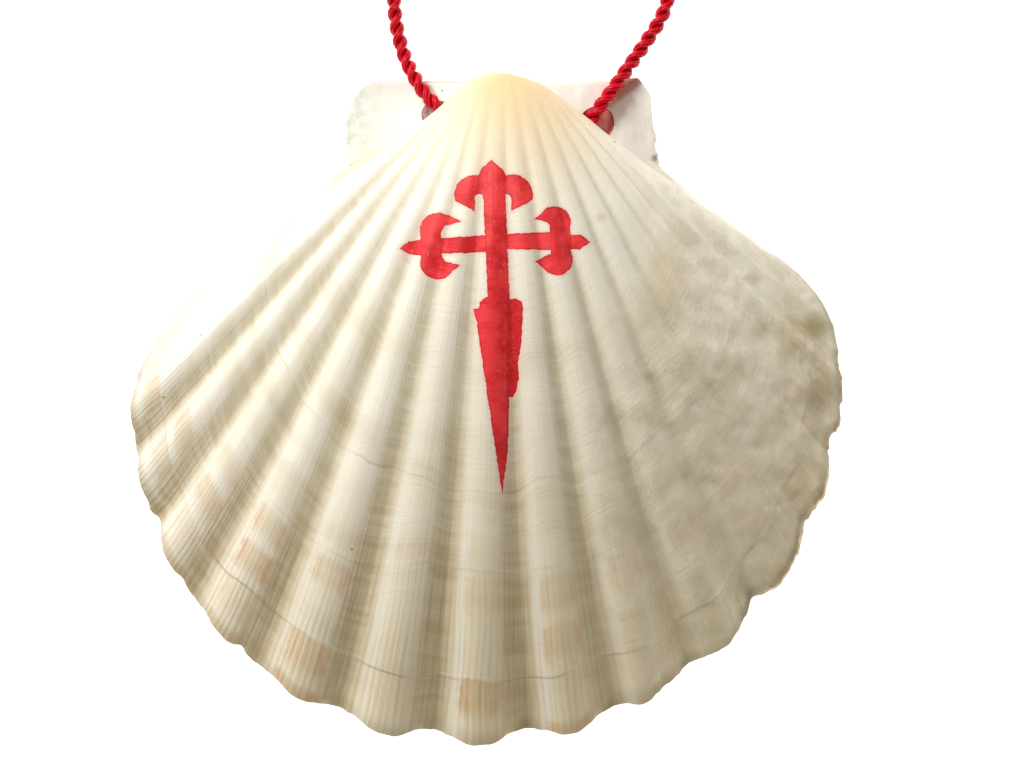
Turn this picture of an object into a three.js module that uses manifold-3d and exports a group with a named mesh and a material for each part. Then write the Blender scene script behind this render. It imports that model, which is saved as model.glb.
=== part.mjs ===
// Pilgrim scallop shell on a twisted neck cord.
// The shell is the right, cupped valve of a king scallop, lying cupped side up.
// Millimetres, +Z up. The beak points to +Y and the fan opens to -Y.
// The origin is under the middle of the shell, on the surface that it lies on.
import * as THREE from 'three';
import { ParametricGeometry } from 'three/addons/geometries/ParametricGeometry.js';
import { mergeGeometries, mergeVertices } from 'three/addons/utils/BufferGeometryUtils.js';
import Module from 'manifold-3d';

// Growth of the shell
const beak = { x: 2.3, y: 58.1 };      // where every growth line meets the hinge line
const curlRate = 0.66;                 // how fast older growth lines stand up about the hinge
const curlLimit = 3.3;                 // radians that the tip of the beak has curled by
const umboSwell = { curl: 0.15, at: 2.2, width: 0.8 };    // a rounder beak, by the logarithm of its shrinking
const umboPinch = { share: 0.2, at: 1.8, width: 0.8, from: [10, 50] };  // narrower on its left side
const edgeHeight = 1.8;                // height of the outer surface along the edge
const firstReach = 0.012;              // size of the oldest growth line against the edge
const rows = 22;                       // growth lines from edge to beak
const rowCrowding = 1.7;               // above 1, the growth lines crowd towards the beak

// Disc: an arc of a circle, seen from above and measured from the beak
const discRadius = 62.6;
const discCentre = { x: -2.3, y: 53.1 };
const discBulge = { size: 2.5, at: -27, width: 20 };  // the left side is fuller, by degrees from the beak

// Ribs: their directions from the beak crowd together towards both sides
const ribMiddle = 0.5;                 // degrees, direction of the fan's middle
const ribFan = 65;                     // degrees
const ribCrowding = 0.13;
const ribLean = { size: 2.0, at: -8, width: 26 };     // the middle ribs lean to the right, in degrees
const ribBend = { size: 0.28, turn: [22, 36], end: [44, 51], from: 0.6 };  // and the right ones bend
const firstPhase = -6.5;               // the furrows that end the row of ribs
const lastPhase = 7.5;
const discFade = 0.4;                  // share of a rib over which the disc's finer shape begins
const columnsPerRib = 6;
const ribHeight = 2.7;
const ribFullness = 0.72;              // below 1, ribs are broader than furrows
const ribFadeIn = [0.09, 0.4];         // reach over which the ribs rise from the smooth beak
const ribWear = 0.75;                  // share of the height that is worn off the right side
const ribWearFrom = [10, 38];          // degrees over which the wear sets in
const ribWearReach = [0.25, 0.65];
const lobeReach = [-0.3, 1.8];         // how far a rib's end pushes the edge out, left and right
const lobeDip = [0, 0.8];              // and how far the furrows between them draw it in
const lobeTurn = [-24, -12];           // degrees over which the one passes into the other
const lobeFade = 6;                    // power of the reach with which the lobes fade
const ribEndLift = 1.4;                // how far a rib's end stands off the table

// Ledges left by halts in growth: reach, and how far the younger shell steps down
const ledges = [[0.91, 0.45], [0.75, 0.25], [0.65, 0.25]];
const ledgeWidth = 0.006;

// Ears and flanks at the edge, from the hinge corner to the disc: distance to the side, then forward
const leftEar = [[22.8, 0], [26.2, 2.5], [27.8, 7.7], [27.6, 11.5], [26.6, 15.0]];
const leftFlank = [[29.2, 16.6], [33.3, 21.0], [43.1, 28.5], [52.9, 35.9], [59.0, 42.9], [62.6, 48.2]];
const rightEar = [[24.9, 0], [26.4, 3.0], [27.1, 8.5], [27.8, 12.4], [28.3, 14.6]];
const rightFlank = [[30.0, 16.4], [34.5, 20.2], [43.6, 26.9], [52.4, 33.4], [56.6, 38.3], [59.3, 43.2]];
const earColumns = 5;
const flankColumns = 6;

// Steps over which the surface's direction is measured
const slopeRib = 0.25;                 // share of a rib
const slopeReach = { step: 0.02, least: 0.8 };

// Hollow underneath
const hollowSetBack = 2.2;             // thickness of the hinge plate
const hollowRim = 1.7;                 // width of the edge's flat underside
const hollowCurl = 0.652;
const hollowFirstReach = 0.12;
const hollowFlank = [
  [3.2, 2.2], [9.4, 6.2], [17.2, 12.0], [25.8, 18.5], [42.0, 30.6], [50.6, 37.6], [55.6, 42.8],
];
const hollowRows = 12;
const hollowFlankColumns = 5;
const hollowColumnsPerRib = 3;
const hollowFurrow = 1.1;              // depth of the grooves inside, at the edge
const hollowFurrowFrom = 0.55;         // reach where they begin

// Cord holes, drilled where the ears meet the flanks: a point on the axis, and where it heads
const holeDepth = 14;
const holeSides = 20;
const holes = [
  { radius: 2.8, at: [-10.7, 6.4, 4.85], heading: [0.52, 0.59, -0.616] },
  { radius: 3.1, at: [17.8, 6.8, 4.95], heading: [-0.52, 0.59, -0.616] },
];

// Cord
const cordRadius = 1.375;
const cordSides = 8;
const cordSteps = 20;
const touchGap = 0.3;
const knotRadius = 3.7;
const knotSquash = 0.86;
const knotFaces = { around: 12, down: 8 };
const leftKnot = [-2.5, 46.1, 3.15];
const rightKnot = [13.0, 43.7, 3.15];
// From knot to coil, chosen by hand: up through the hole, over the ear, down, and along the table
const leftRoute = [
  [-6.3, 50.3, 2.3], [-7.35, 51.5, 3.6], [-8.45, 52.8, 4.9], [-9.8, 54.5, 5.6], [-11.4, 56.5, 5.3],
  [-13.0, 59.1, 4.3], [-14.5, 62.2, 2.7], [-15.6, 65.7, 1.65], [-16.3, 69.0, 1.4], [-16.6, 72.6, 1.4],
  [-16.7, 77.6, 1.4], [-16.3, 83.2, 1.4], [-15.4, 88.0, 1.4], [-14.6, 91.0, 1.4],
];
const rightRoute = [
  [16.6, 49.3, 2.1], [17.65, 50.5, 3.35], [18.7, 51.8, 4.6], [20.2, 53.8, 5.4], [22.25, 56.5, 4.6],
  [24.6, 59.9, 3.3], [26.4, 62.5, 2.2], [28.25, 65.2, 1.6], [30.6, 68.9, 1.4], [32.1, 72.7, 1.4],
  [32.2, 77.8, 1.4], [31.6, 83.6, 1.4], [30.7, 88.0, 1.5], [29.9, 91.0, 1.7],
];
const coil = { x: 7.65, y: 99.5, inner: 10.5, outer: 21.7, height: 5.6, chamfer: 1.0, segments: 28 };

const shellMaterial = new THREE.MeshStandardMaterial({ color: 0xf1ebda, roughness: 0.6, metalness: 0 });
const cordMaterial = new THREE.MeshStandardMaterial({ color: 0xb5121f, roughness: 0.55, metalness: 0 });

const wasm = await Module();
wasm.setup();

const smoothstep = THREE.MathUtils.smoothstep;
const lerp = THREE.MathUtils.lerp;

// Rib directions

function bell(value, { at, width }) {
  return Math.exp(-(((value - at) / width) ** 2));
}

function ribAngle(phase) {
  const even = ribMiddle + ribFan * Math.sin(ribCrowding * (phase - 0.5));
  return THREE.MathUtils.degToRad(even + ribLean.size * bell(even, ribLean));
}

function discShare(phase) {
  const inside = Math.min(phase - firstPhase, lastPhase - phase);
  return smoothstep(inside, 0, discFade);
}

function ribProfile(phase) {
  const wave = 0.5 + 0.5 * Math.cos(2 * Math.PI * phase);
  return Math.max(wave, 0) ** ribFullness;
}

// Distance from the beak to the disc's edge in one direction
function discReach(angle) {
  const along = discCentre.x * Math.sin(angle) + discCentre.y * Math.cos(angle);
  const centreSquared = discCentre.x ** 2 + discCentre.y ** 2;
  const bulge = discBulge.size * bell(THREE.MathUtils.radToDeg(angle), discBulge);
  return along + Math.sqrt(along ** 2 - centreSquared + discRadius ** 2) + bulge;
}

// Points along a hand-drawn stretch of the edge
function sampleStretch(points, columns, side) {
  const curve = new THREE.CatmullRomCurve3(points.map(([x, y]) => new THREE.Vector3(side * x, y, 0)));
  const bare = { phase: firstPhase, angle: 0, disc: 0 };
  return curve.getPoints(columns).map((point) => ({ x: point.x, y: point.y, ...bare }));
}

function discStretch(perRib, inset) {
  const count = Math.round((lastPhase - firstPhase) * perRib);
  const points = [];
  for (let i = 0; i <= count; i += 1) {
    const phase = firstPhase + i / perRib;
    const angle = ribAngle(phase);
    const reach = discReach(angle) - inset;
    points.push({
      x: reach * Math.sin(angle),
      y: reach * Math.cos(angle),
      phase,
      angle: THREE.MathUtils.radToDeg(angle),
      disc: discShare(phase),
    });
  }
  return points;
}

// The shell's edge, from the left hinge corner round to the right one
function shellEdge() {
  return [
    ...sampleStretch(leftEar, earColumns, -1),
    ...sampleStretch(leftFlank, flankColumns, -1),
    ...discStretch(columnsPerRib, 0),
    ...sampleStretch(rightFlank, flankColumns, 1).reverse(),
    ...sampleStretch(rightEar, earColumns, 1).reverse(),
  ];
}

// The hollow's mouth, from the hinge plate round and back to it
function hollowEdge() {
  return [
    ...sampleStretch(hollowFlank, hollowFlankColumns, -1),
    ...discStretch(hollowColumnsPerRib, hollowRim),
    ...sampleStretch(hollowFlank, hollowFlankColumns, 1).reverse(),
  ].map((point) => ({ ...point, y: point.y - hollowSetBack }));
}

// Growth surface: every growth line is the edge, made smaller and stood up about the hinge line

function curlAngle(reach, rate) {
  const shrinking = Math.log(1 / reach);
  const swell = umboSwell.curl * bell(shrinking, umboSwell) * Math.min(shrinking, 1);
  return curlLimit * Math.tanh(rate * shrinking / curlLimit) + swell;
}

function grow(point, reach, rate) {
  const curl = curlAngle(reach, rate);
  const pinch = umboPinch.share * bell(Math.log(1 / reach), umboPinch);
  return new THREE.Vector3(
    reach * point.x * (1 - pinch * smoothstep(-point.x, ...umboPinch.from)),
    -reach * point.y * Math.cos(curl),
    reach * point.y * Math.sin(curl),
  );
}

function edgePoint(edge, u) {
  const at = Math.min(Math.max(u, 0), 1) * (edge.length - 1);
  const index = Math.min(Math.floor(at), edge.length - 2);
  const blend = at - index;
  const a = edge[index];
  const b = edge[index + 1];
  return {
    x: lerp(a.x, b.x, blend),
    y: lerp(a.y, b.y, blend),
    phase: lerp(a.phase, b.phase, blend),
    angle: lerp(a.angle, b.angle, blend),
    disc: lerp(a.disc, b.disc, blend),
  };
}

// Height of the ribs as a share, at one point of the edge and one reach
function ribShare({ phase, angle }, reach) {
  const turned = smoothstep(angle, ...ribBend.turn) * (1 - smoothstep(angle, ...ribBend.end));
  return ribProfile(phase - ribBend.size * turned * smoothstep(reach, ribBend.from, 1));
}

// Outward direction of the smooth surface, before its ribs
function outward(edge, u, reach, rate) {
  const step = slopeRib * columnsPerRib / (edge.length - 1);
  const before = grow(edgePoint(edge, u - step), reach, rate);
  const along = grow(edgePoint(edge, u + step), reach, rate).sub(before);
  const inner = Math.max(reach - slopeReach.step, reach * slopeReach.least);
  const point = edgePoint(edge, u);
  const up = grow(point, inner, rate).sub(grow(point, reach, rate));
  return along.cross(up).normalize();
}

function ledgeDepth(reach) {
  let depth = 0;
  for (const [at, drop] of ledges) {
    depth += drop * smoothstep(reach, at - ledgeWidth, at + ledgeWidth);
  }
  return depth;
}

function ribRelief(point, reach) {
  const wear = 1 - ribWear * smoothstep(point.angle, ...ribWearFrom) * smoothstep(reach, ...ribWearReach);
  return ribHeight * reach * smoothstep(reach, ...ribFadeIn) * wear * ribShare(point, reach);
}

const edge = shellEdge();
const mouth = hollowEdge();

// Growth lines crowd towards the beak, and each ledge has a pair of its own
function shellReaches() {
  const reaches = [];
  for (let i = 0; i <= rows; i += 1) {
    reaches.push(lerp(1, firstReach, 1 - (1 - i / rows) ** rowCrowding));
  }
  const [mainLedge] = ledges[0];
  reaches.push(mainLedge - ledgeWidth, mainLedge + ledgeWidth);
  return reaches.sort((a, b) => b - a);
}

const reaches = shellReaches();

function shellPoint(u, reach) {
  const point = edgePoint(edge, u);
  const turned = smoothstep(point.angle, ...lobeTurn);
  const lobed = lerp(...lobeReach, turned) * ribShare(point, reach) - point.disc * lerp(...lobeDip, turned);
  const lobe = lobed * reach ** lobeFade;
  const length = Math.hypot(point.x, point.y);
  const pushed = { x: point.x * (1 + lobe / length), y: point.y * (1 + lobe / length) };
  const relief = ribRelief(point, reach) - point.disc * ledgeDepth(reach) * reach;
  const place = grow(pushed, reach, curlRate);
  return place.addScaledVector(outward(edge, u, reach, curlRate), relief);
}

function hollowPoint(u, reach) {
  const point = edgePoint(mouth, u);
  const groove = hollowFurrow * ribShare(point, reach) * smoothstep(reach, hollowFurrowFrom, 1);
  return grow(point, reach, hollowCurl).add(new THREE.Vector3(0, 0, groove));
}

// Closed solids from a sheet, its rim and a floor

function toBeak(point, forward, height) {
  return new THREE.Vector3(point.x + beak.x, point.y + beak.y - forward, point.z + height);
}

function triangles(list) {
  return new THREE.BufferGeometry().setFromPoints(list.flat());
}

function fan(centre, rim) {
  return triangles(rim.slice(1).map((point, i) => [centre, rim[i], point]));
}

function wall(top, bottom) {
  const faces = [];
  for (let i = 1; i < top.length; i += 1) {
    faces.push([top[i - 1], bottom[i - 1], bottom[i]], [top[i - 1], bottom[i], top[i]]);
  }
  return triangles(faces);
}

function toManifold(geometry) {
  const bare = geometry.clone();
  bare.deleteAttribute('normal');
  bare.deleteAttribute('uv');
  const merged = mergeVertices(bare, 1e-4);
  const index = Array.from(merged.index.array);
  const kept = [];
  for (let i = 0; i < index.length; i += 3) {
    const [a, b, c] = index.slice(i, i + 3);
    if (a !== b && b !== c && a !== c) {
      kept.push(a, b, c);
    }
  }
  return new wasm.Manifold(new wasm.Mesh({
    numProp: 3,
    vertProperties: new Float32Array(merged.attributes.position.array),
    triVerts: new Uint32Array(kept),
  }));
}

// A sheet over all growth lines, closed at the beak, along the hinge line and underneath
function growthSolid({ place, columns, lines, forward, height, floorAt }) {
  const rowOf = (v) => {
    const at = Math.min(Math.max(v, 0), 1) * (lines.length - 1);
    const index = Math.min(Math.floor(at), lines.length - 2);
    return lerp(lines[index], lines[index + 1], at - index);
  };
  const at = (u, v) => toBeak(place(u, rowOf(v)), forward, height);
  const sheet = new ParametricGeometry((u, v, target) => target.copy(at(u, v)), columns, lines.length - 1);
  const across = Array.from({ length: columns + 1 }, (_, i) => i / columns);
  const back = Array.from({ length: lines.length }, (_, i) => i / (lines.length - 1));
  const rim = across.map((u) => at(u, 0));
  const oldest = across.map((u) => at(u, 1));
  const floor = rim.map((point, i) => new THREE.Vector3(point.x, point.y, floorAt(across[i])));
  const tip = toBeak(new THREE.Vector3(), forward, height);
  const foot = toBeak(new THREE.Vector3(), forward, 0).setZ(floorAt(0));
  const leftHinge = back.map((v) => at(0, v));
  const rightHinge = back.map((v) => at(1, v)).reverse();
  const hingeTop = [floor.at(0), ...leftHinge, tip, ...rightHinge, floor.at(-1)];
  const closing = [
    fan(tip, oldest),
    wall(rim, floor),
    fan(foot, [...floor].reverse()),
    fan(foot, hingeTop),
  ];
  const parts = [sheet.toNonIndexed(), ...closing];
  parts.forEach((part) => {
    part.deleteAttribute('normal');
    part.deleteAttribute('uv');
  });
  return toManifold(mergeGeometries(parts));
}

function shellBody() {
  return growthSolid({
    place: shellPoint,
    columns: edge.length - 1,
    lines: reaches,
    forward: 0,
    height: edgeHeight,
    floorAt: (u) => ribEndLift * ribShare(edgePoint(edge, u), 1),
  });
}

function hollow() {
  const lines = [];
  for (let i = 0; i <= hollowRows; i += 1) {
    lines.push(lerp(1, hollowFirstReach, i / hollowRows));
  }
  return growthSolid({
    place: hollowPoint,
    columns: mouth.length - 1,
    lines,
    forward: hollowSetBack,
    height: 0,
    floorAt: () => -1,
  });
}

// Drill for a cord hole, started outside the shell
function drill({ radius, at, heading }) {
  const axis = new THREE.Vector3(heading[0], -heading[1], heading[2]).normalize();
  const bit = new THREE.CylinderGeometry(radius, radius, holeDepth, holeSides);
  bit.applyQuaternion(new THREE.Quaternion().setFromUnitVectors(new THREE.Vector3(0, 1, 0), axis));
  const middle = new THREE.Vector3(at[0] + beak.x, beak.y - at[1], at[2]);
  bit.translate(middle.x, middle.y, middle.z);
  return toManifold(bit);
}

function fromManifold(solid) {
  const { vertProperties, triVerts, numProp } = solid.getMesh();
  const positions = [];
  for (let i = 0; i < vertProperties.length; i += numProp) {
    positions.push(vertProperties[i], vertProperties[i + 1], vertProperties[i + 2]);
  }
  const geometry = new THREE.BufferGeometry();
  geometry.setAttribute('position', new THREE.Float32BufferAttribute(positions, 3));
  geometry.setIndex(Array.from(triVerts));
  geometry.computeVertexNormals();
  return geometry;
}

function makeShell() {
  let solid = shellBody().subtract(hollow());
  for (const hole of holes) {
    solid = solid.subtract(drill(hole));
  }
  const mesh = new THREE.Mesh(fromManifold(solid), shellMaterial);
  mesh.name = 'shell';
  return mesh;
}

// Cord

function cordSection() {
  const section = new THREE.Shape();
  for (let i = 0; i < cordSides; i += 1) {
    const angle = (2 * Math.PI * i) / cordSides;
    const x = cordRadius * Math.cos(angle);
    const y = cordRadius * Math.sin(angle);
    if (i === 0) {
      section.moveTo(x, y);
    } else {
      section.lineTo(x, y);
    }
  }
  section.closePath();
  return section;
}

// The cord starts where it meets its knot
function makeCord(name, knot, route) {
  const points = route.map((point) => new THREE.Vector3(...point));
  const middle = new THREE.Vector3(...knot);
  const start = points[0].clone().sub(middle).setLength(knotRadius + touchGap).add(middle);
  const path = new THREE.CatmullRomCurve3([start, ...points]);
  const geometry = new THREE.ExtrudeGeometry(cordSection(), { steps: cordSteps, extrudePath: path });
  const mesh = new THREE.Mesh(geometry, cordMaterial);
  mesh.name = name;
  return mesh;
}

// The turns of the coil fill this ring
function makeCoil() {
  const { inner, outer, height, chamfer } = coil;
  const profile = [
    [inner + chamfer, 0], [outer - chamfer, 0], [outer, chamfer], [outer, height - chamfer],
    [outer - chamfer, height], [inner + chamfer, height], [inner, height - chamfer], [inner, chamfer],
    [inner + chamfer, 0],
  ].map(([x, y]) => new THREE.Vector2(x, y));
  const ring = new THREE.Mesh(new THREE.LatheGeometry(profile, coil.segments), cordMaterial);
  ring.rotation.x = Math.PI / 2;
  ring.position.set(coil.x, coil.y, 0);
  ring.name = 'cord_coil';
  return ring;
}

// Stopper knot inside the hollow, too big for the hole; its long axis follows the cord
function makeKnot(name, place, cordEnd) {
  const ball = new THREE.SphereGeometry(knotRadius, knotFaces.around, knotFaces.down);
  const knot = new THREE.Mesh(ball, cordMaterial);
  knot.position.set(...place);
  knot.rotation.z = Math.atan2(cordEnd[1] - place[1], cordEnd[0] - place[0]);
  knot.scale.set(1, knotSquash, knotSquash);
  knot.name = name;
  return knot;
}

const group = new THREE.Group();
group.add(makeShell());
group.add(makeCord('cord_left', leftKnot, leftRoute));
group.add(makeCord('cord_right', rightKnot, rightRoute));
group.add(makeCoil());
group.add(makeKnot('knot_left', leftKnot, leftRoute[0]));
group.add(makeKnot('knot_right', rightKnot, rightRoute[0]));

export default group;
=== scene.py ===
import math

import bpy
import numpy as np
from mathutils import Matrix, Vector


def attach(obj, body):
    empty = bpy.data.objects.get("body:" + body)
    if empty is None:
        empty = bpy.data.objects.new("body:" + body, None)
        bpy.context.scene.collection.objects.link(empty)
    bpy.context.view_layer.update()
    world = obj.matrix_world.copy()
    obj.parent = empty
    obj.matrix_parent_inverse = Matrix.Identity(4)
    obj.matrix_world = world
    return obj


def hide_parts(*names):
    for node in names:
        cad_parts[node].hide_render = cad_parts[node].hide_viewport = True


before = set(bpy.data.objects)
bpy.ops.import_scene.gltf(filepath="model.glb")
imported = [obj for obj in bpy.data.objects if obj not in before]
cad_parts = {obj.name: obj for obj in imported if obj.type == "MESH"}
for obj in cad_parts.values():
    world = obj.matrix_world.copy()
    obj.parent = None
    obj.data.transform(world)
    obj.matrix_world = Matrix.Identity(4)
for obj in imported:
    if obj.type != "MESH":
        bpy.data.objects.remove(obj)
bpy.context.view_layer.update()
mm = 0.001


def deselectAll():
    bpy.ops.object.select_all(action="DESELECT")


def makeActive(piece):
    deselectAll()
    piece.select_set(True)
    bpy.context.view_layer.objects.active = piece


def positions(piece):
    places = np.empty(len(piece.data.vertices) * 3)
    piece.data.vertices.foreach_get("co", places)
    return places.reshape(-1, 3)


def setPositions(piece, places):
    piece.data.vertices.foreach_set("co", np.asarray(places, dtype=float).ravel())
    piece.data.update()


def smoothstep(value, low, high):
    t = np.clip((value - low) / (high - low), 0, 1)
    return t * t * (3 - 2 * t)


def bell(value, at, width):
    return np.exp(-(((value - at) / width) ** 2))


def softNoise(across, along, seed):
    # smooth random relief from -1 to 1, one hump for each whole step of either value
    size = 64
    lattice = np.random.default_rng(seed).uniform(-1, 1, (size, size))
    i = np.floor(across).astype(int)
    j = np.floor(along).astype(int)
    a = smoothstep(across - i, 0, 1)
    b = smoothstep(along - j, 0, 1)
    low = lattice[i % size, j % size] * (1 - a) + lattice[(i + 1) % size, j % size] * a
    high = lattice[i % size, (j + 1) % size] * (1 - a) + lattice[(i + 1) % size, (j + 1) % size] * a
    return low * (1 - b) + high * b


def curveThrough(points, at):
    # smooth curve through given points; a whole number in "at" is a point of the list
    points = np.asarray(points, dtype=float)
    ends = np.vstack([2 * points[0] - points[1], points, 2 * points[-1] - points[-2]])
    index = np.clip(np.floor(at).astype(int), 0, len(points) - 2)
    t = (at - index)[:, None]
    p0, p1, p2, p3 = (ends[index + k] for k in range(4))
    cubic = -p0 + 3 * p1 - 3 * p2 + p3
    square = 2 * p0 - 5 * p1 + 4 * p2 - p3
    return 0.5 * (2 * p1 + (p2 - p0) * t + square * t ** 2 + cubic * t ** 3)


# Camera, straight above the shell

studio = {
    "cameraHeight": 1200,               # millimetres above the shell's edge
    "edgeHeight": 3,
    "viewCentre": (4.44, 4.34),
    "viewWidth": 182.3,                 # millimetres of table across the picture
    "sensor": 36,
    "floorSize": 6,                     # metres
    "keyPlace": (-0.7, 0.85, 0.85),     # metres
    "keySize": 0.45,
    "keyPower": 15.0,
    "skyStrength": 0.36,
    "skyColour": (1.0, 0.95, 0.85),
    "tableColour": (250, 250, 250),
    "tableGlow": 0.9,
}


def placeCamera():
    camera = bpy.data.objects.new("camera", bpy.data.cameras.new("camera"))
    bpy.context.collection.objects.link(camera)
    x, y = studio["viewCentre"]
    height = studio["cameraHeight"] + studio["edgeHeight"]
    camera.location = (x * mm, y * mm, height * mm)
    camera.data.sensor_width = studio["sensor"]
    camera.data.lens = studio["sensor"] * studio["cameraHeight"] / studio["viewWidth"]
    camera.data.clip_start = 0.01
    camera.data.clip_end = 20
    bpy.context.scene.camera = camera


placeCamera()
print("camera placed")


# Node helpers: each returns the output socket that the next one takes

class Nodes:
    def __init__(self, name):
        self.material = bpy.data.materials.new(name)
        self.material.use_nodes = True
        self.tree = self.material.node_tree
        self.shader = self.tree.nodes["Principled BSDF"]

    def join(self, value, socket):
        if isinstance(value, bpy.types.NodeSocket):
            self.tree.links.new(value, socket)
        else:
            socket.default_value = value

    def add(self, kind, inputs=(), output=0, **settings):
        node = self.tree.nodes.new(kind)
        for name, value in settings.items():
            setattr(node, name, value)
        for key, value in dict(inputs).items():
            self.join(value, node.inputs[key])
        return node.outputs[output]

    def math(self, operation, *values):
        return self.add("ShaderNodeMath", enumerate(values), operation=operation)

    def times(self, first, *others):
        for other in others:
            first = self.math("MULTIPLY", first, other)
        return first

    def scaled(self, value, factor, offset):
        return self.math("MULTIPLY_ADD", value, factor, offset)

    def apart(self, first, second):
        return self.math("ABSOLUTE", self.math("SUBTRACT", first, second))

    def objectPlace(self):
        return self.add("ShaderNodeTexCoord", output="Object")

    def vector(self, operation, *values):
        output = "Value" if operation in ("DOT_PRODUCT", "DISTANCE", "LENGTH") else "Vector"
        return self.add("ShaderNodeVectorMath", enumerate(values), output, operation=operation)

    def combine(self, x, y, z=0.0):
        return self.add("ShaderNodeCombineXYZ", {"X": x, "Y": y, "Z": z})

    def separate(self, vector):
        node = self.tree.nodes.new("ShaderNodeSeparateXYZ")
        self.join(vector, node.inputs[0])
        return node.outputs

    def span(self, value, low, high, start=0.0, end=1.0):
        inputs = {"Value": value, "From Min": low, "From Max": high, "To Min": start, "To Max": end}
        return self.add("ShaderNodeMapRange", inputs, interpolation_type="SMOOTHSTEP")

    def noise(self, vector, scale, detail=2.0, roughness=0.5):
        inputs = {"Vector": vector, "Scale": scale, "Detail": detail, "Roughness": roughness}
        return self.add("ShaderNodeTexNoise", inputs, "Fac")

    def grain(self, first, firstScale, second, secondScale, detail=3.0, roughness=0.5):
        # noise that is drawn out one way
        place = self.combine(self.times(first, firstScale), self.times(second, secondScale))
        return self.noise(place, 1.0, detail, roughness)

    def bump(self, height, strength, distance):
        inputs = {"Height": height, "Strength": strength, "Distance": distance * mm}
        return self.add("ShaderNodeBump", inputs)

    def mix(self, factor, first, second, blend="MIX"):
        node = self.tree.nodes.new("ShaderNodeMix")
        node.data_type = "RGBA"
        node.blend_type = blend
        self.join(factor, node.inputs["Factor"])
        for value, socket in ((first, node.inputs[6]), (second, node.inputs[7])):
            self.join(tint(value), socket)
        return node.outputs[2]

    def set(self, **values):
        for name, value in values.items():
            self.join(value, self.shader.inputs[name.replace("_", " ")])


def tint(value):
    # a colour as people read it, 0 to 255, becomes the light that it stands for
    if not isinstance(value, tuple):
        return value
    shares = [part / 255 for part in value]
    light = [s / 12.92 if s <= 0.04045 else ((s + 0.055) / 1.055) ** 2.4 for s in shares]
    return (*light, 1.0)


# Cord: two plies laid up right-handed, from knot to knot by way of its coil

cord = {
    "diameter": 2.75,
    "knotSize": (0.78, 0.66, 0.72),
    "plies": 2,
    "plyRadius": 0.7,
    "plyOffset": 0.675,
    "lay": 5.1,                         # millimetres for one turn of the plies
    "plySides": 10,
    "step": 0.46,
    "leftKnot": (-2.5, 46.1, 3.15),
    "rightKnot": (13.0, 43.7, 3.15),
    "leftRoute": [
        (-6.3, 50.3, 2.3), (-7.35, 51.5, 3.6), (-8.45, 52.8, 4.9), (-9.8, 54.5, 5.6), (-11.4, 56.5, 5.3),
        (-13.0, 59.1, 4.3), (-14.5, 62.2, 2.7), (-15.6, 65.7, 1.65), (-16.3, 69.0, 1.4), (-16.6, 72.6, 1.4),
        (-16.7, 77.6, 1.4), (-16.3, 83.2, 1.4), (-15.4, 88.0, 1.4), (-14.6, 91.0, 1.4),
    ],
    "rightRoute": [
        (16.6, 49.3, 2.1), (17.65, 50.5, 3.35), (18.7, 51.8, 4.6), (20.2, 53.8, 5.4), (22.25, 56.5, 4.6),
        (24.6, 59.9, 3.3), (26.4, 62.5, 2.2), (28.25, 65.2, 1.6), (30.6, 68.9, 1.4), (32.1, 72.7, 1.4),
        (32.2, 77.8, 1.4), (31.6, 83.6, 1.4), (30.7, 88.0, 1.5), (29.9, 91.0, 1.7),
    ],
    "intoCoil": [(-13.6, 95.2, 1.4)],
    "outOfCoil": [(28.6, 95.5, 3.95), (29.2, 93.0, 3.0)],
    "coilCentre": (7.65, 99.5),
    "coilRadii": (20.25, 12.0),
    "coilTurns": 3,                     # in each of the two layers
    "coilLayers": (1.4, 4.15),
    "pointsPerTurn": 48,
    "colour": (238, 4, 34),
    # painted shade for the grooves between the fibres
    "deepColour": (138, 0, 12),
    "fadedColour": (240, 26, 52),
    "sheenColour": (255, 150, 165),
}


def coilTurns():
    # in along the lower layer, half a turn up, and out along the upper one
    outer, inner = cord["coilRadii"]
    low, high = cord["coilLayers"]
    turns = cord["coilTurns"]
    x, y = cord["coilCentre"]
    points = []
    total = round((2 * turns + 0.5) * cord["pointsPerTurn"])
    for i in range(total + 1):
        turn = i / cord["pointsPerTurn"]
        inward = min(turn, turns) / turns
        outward = max(turn - turns - 0.5, 0) / turns
        radius = outer + (inner - outer) * (inward - outward)
        rise = float(smoothstep(turn, turns, turns + 0.5))
        angle = math.pi * (1 - 2 * turn)
        place = (x + radius * math.cos(angle), y + radius * math.sin(angle), low + (high - low) * rise)
        points.append(place)
    return points


def evenly(points, step):
    # the same line with points a step apart
    points = np.asarray(points, dtype=float)
    dense = curveThrough(points, np.linspace(0, len(points) - 1, len(points) * 24))
    travelled = np.concatenate([[0], np.cumsum(np.linalg.norm(np.diff(dense, axis=0), axis=1))])
    count = int(round(travelled[-1] / step)) + 1
    at = np.linspace(0, travelled[-1], count)
    line = np.stack([np.interp(at, travelled, dense[:, k]) for k in range(3)], axis=1)
    return line, travelled[-1]


def twistFrames(line):
    # a pair of directions across the line at each point, carried along without turning
    along = np.gradient(line, axis=0)
    along /= np.linalg.norm(along, axis=1)[:, None]
    side = np.cross(along[0], (0.3, 0.2, 1.0))
    sides = []
    for direction in along:
        side = side - direction * np.dot(side, direction)
        side = side / np.linalg.norm(side)
        sides.append(side)
    return np.array(sides), np.cross(along, sides)


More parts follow.
